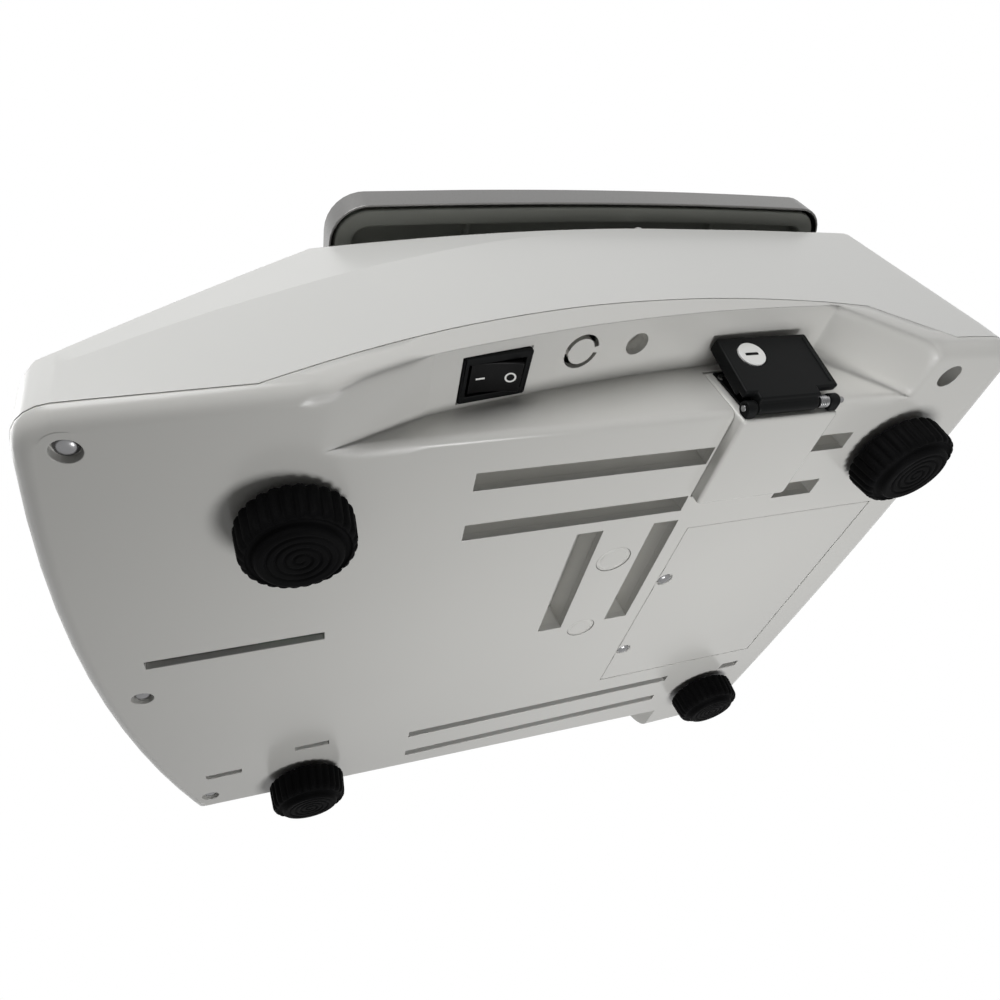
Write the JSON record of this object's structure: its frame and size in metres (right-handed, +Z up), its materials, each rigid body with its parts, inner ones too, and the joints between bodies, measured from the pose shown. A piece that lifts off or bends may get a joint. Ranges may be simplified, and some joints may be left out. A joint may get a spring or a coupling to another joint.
{
  "type": "electronic counting scale",
  "caption": "Electronic bench counting scale: two-part plastic housing, stainless pan on a load cell, four screw feet, mains switch and flapped mains socket.",
  "frame": {"origin": "on the ground, under the middle of the scale's box", "axes": "+X to the operator's right, +Y to the rear, +Z up"},
  "size_m": [0.272, 0.304, 0.1052],
  "materials": {
    "shell_plastic": "satin moulded ABS",
    "base_plastic": "satin moulded ABS",
    "screw_steel": "bright plated steel",
    "black_plastic": "moulded",
    "switch_black": "gloss moulded",
    "white_plastic": "gloss moulded",
    "brass_tab": "plain",
    "cell_aluminium": "machined",
    "cast_alloy": "as cast",
    "foot_rubber": "moulded",
    "tray_plastic": "moulded",
    "pan_steel": "brushed",
    "battery_case": "moulded",
    "core_steel": "varnished laminations",
    "board_green": "solder mask",
    "lcd_glass": "polished",
    "window_plastic": "smoked acrylic",
    "keypad_film": "embossed film",
    "level_vial": "clear tinted",
    "cable_grey": "sheathed",
    "cable_brown": "sheathed",
    "cable_red": "sheathed"
  },
  "bodies": {
    "housing": {"base_housing": "base_plastic", "top_housing": "shell_plastic", "housing_screws": "screw_steel", "battery_door": "base_plastic", "door_screws": "screw_steel", "hole_plugs": "base_plastic", "socket_box": "base_plastic", "mains_inlet": "black_plastic", "inlet_screws": "screw_steel", "flap_frame": "black_plastic", "flap_pin": "screw_steel", "flap_spring": "screw_steel", "switch_frame": "black_plastic", "switch_tabs": "brass_tab", "foot_nuts": "screw_steel", "load_cell": "cell_aluminium", "cell_block": "cell_aluminium", "cell_bolts": "screw_steel", "overload_stop": "screw_steel", "battery": "battery_case", "battery_terminals": "brass_tab", "transformer": "core_steel", "main_board": "board_green", "board_screws": "screw_steel", "display_board": "board_green", "lcd_module": "lcd_glass", "display_window": "window_plastic", "keypad": "keypad_film", "customer_window": "window_plastic", "customer_display": "board_green", "bubble_level": "level_vial", "cell_cable": "cable_grey", "mains_leads": "cable_brown", "battery_leads": "cable_red"},
    "switch_rocker_body": {"switch_rocker": "switch_black"},
    "flap": {"socket_flap": "black_plastic"},
    "latch": {"flap_latch": "white_plastic"},
    "carrier": {"pan_spider": "cast_alloy", "pan_pads": "foot_rubber"},
    "pan": {"pan_tray": "tray_plastic", "pan_plate": "pan_steel"},
    "screw_front_right": {"stud_front_right": "screw_steel"},
    "knob_front_right": {"foot_front_right": "foot_rubber"},
    "screw_front_left": {"stud_front_left": "screw_steel"},
    "knob_front_left": {"foot_front_left": "foot_rubber"},
    "screw_rear_right": {"stud_rear_right": "screw_steel"},
    "knob_rear_right": {"foot_rear_right": "foot_rubber"},
    "screw_rear_left": {"stud_rear_left": "screw_steel"},
    "knob_rear_left": {"foot_rear_left": "foot_rubber"}
  },
  "joints": [
    {"name": "power_switch", "type": "hinge", "parent": "housing", "child": "switch_rocker_body", "pos_m": [0.1182, -0.031, 0.03025], "axis": [1, 0, 0], "range_deg": [0, 20]},
    {"name": "flap_hinge", "type": "hinge", "parent": "housing", "child": "flap", "pos_m": [0.1114, 0.0611, 0.0144], "axis": [0, 1, 0], "range_deg": [0, 95], "stiffness_Nm_per_rad": 0.01, "springref_deg": -20.05},
    {"name": "flap_latch_turn", "type": "hinge", "parent": "flap", "child": "latch", "pos_m": [0.11493, 0.0536, 0.03103], "axis": [0.9781, 0, -0.2079], "range_deg": [0, 90]},
    {"name": "pan_load", "type": "slide", "parent": "housing", "child": "carrier", "axis": [0, 0, 1], "range_m": [-0.0005, 0], "stiffness_N_per_m": 60000, "deforming": ["load_cell"]},
    {"name": "pan_lift_off", "type": "slide", "parent": "carrier", "child": "pan", "axis": [0, 0, 1], "range_m": [0, 0.03]},
    {"name": "height_front_right", "type": "slide", "parent": "housing", "child": "screw_front_right", "axis": [0, 0, -1], "range_m": [-0.0015, 0.008]},
    {"name": "turn_front_right", "type": "hinge", "parent": "screw_front_right", "child": "knob_front_right", "pos_m": [0.0865, -0.0869, 0.008], "axis": [0, 0, 1], "range_deg": [-432, 2304]},
    {"name": "height_front_left", "type": "slide", "parent": "housing", "child": "screw_front_left", "axis": [0, 0, -1], "range_m": [-0.0015, 0.008]},
    {"name": "turn_front_left", "type": "hinge", "parent": "screw_front_left", "child": "knob_front_left", "pos_m": [-0.0865, -0.0869, 0.008], "axis": [0, 0, 1], "range_deg": [-432, 2304]},
    {"name": "height_rear_right", "type": "slide", "parent": "housing", "child": "screw_rear_right", "axis": [0, 0, -1], "range_m": [-0.0015, 0.008]},
    {"name": "turn_rear_right", "type": "hinge", "parent": "screw_rear_right", "child": "knob_rear_right", "pos_m": [0.0865, 0.1175, 0.008], "axis": [0, 0, 1], "range_deg": [-432, 2304]},
    {"name": "height_rear_left", "type": "slide", "parent": "housing", "child": "screw_rear_left", "axis": [0, 0, -1], "range_m": [-0.0015, 0.008]},
    {"name": "turn_rear_left", "type": "hinge", "parent": "screw_rear_left", "child": "knob_rear_left", "pos_m": [-0.0865, 0.1175, 0.008], "axis": [0, 0, 1], "range_deg": [-432, 2304]}
  ],
  "couplings": [
    {"joint": "height_front_right", "follows": "turn_front_right", "m_per_rad": 0.00019894},
    {"joint": "height_front_left", "follows": "turn_front_left", "m_per_rad": 0.00019894},
    {"joint": "height_rear_right", "follows": "turn_rear_right", "m_per_rad": 0.00019894},
    {"joint": "height_rear_left", "follows": "turn_rear_left", "m_per_rad": 0.00019894}
  ]
}
